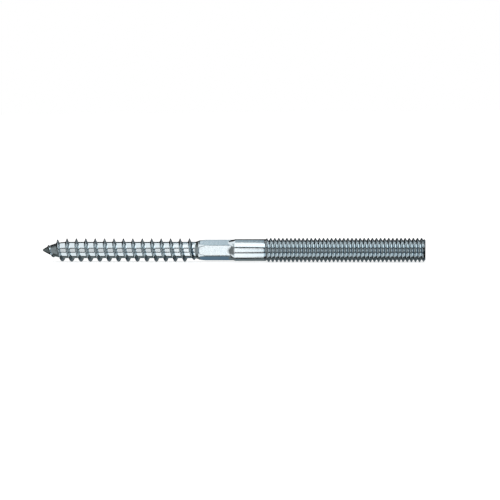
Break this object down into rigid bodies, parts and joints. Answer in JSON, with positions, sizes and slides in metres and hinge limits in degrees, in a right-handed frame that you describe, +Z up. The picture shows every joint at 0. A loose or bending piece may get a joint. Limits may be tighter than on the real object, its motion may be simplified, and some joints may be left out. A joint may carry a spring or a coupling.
{
  "type": "hanger bolt",
  "caption": "Steel double-ended bolt with a wood screw thread at one end, a machine stud at the other, a forged spanner hexagon between them and a lobed drive recess in the stud's end.",
  "frame": {"origin": "centre of the machine stud's end face, on the bolt's axis", "axes": "+X out of the stud's end face along the bolt's axis, +Z up, two flats of the hexagon facing -Y and +Y"},
  "size_m": [0.095, 0.006, 0.006],
  "materials": {
    "zinc_plated_steel": "bright zinc plate with a faint blue passivation"
  },
  "bodies": {
    "root": {"hanger_bolt": "zinc_plated_steel"}
  },
  "joints": []
}
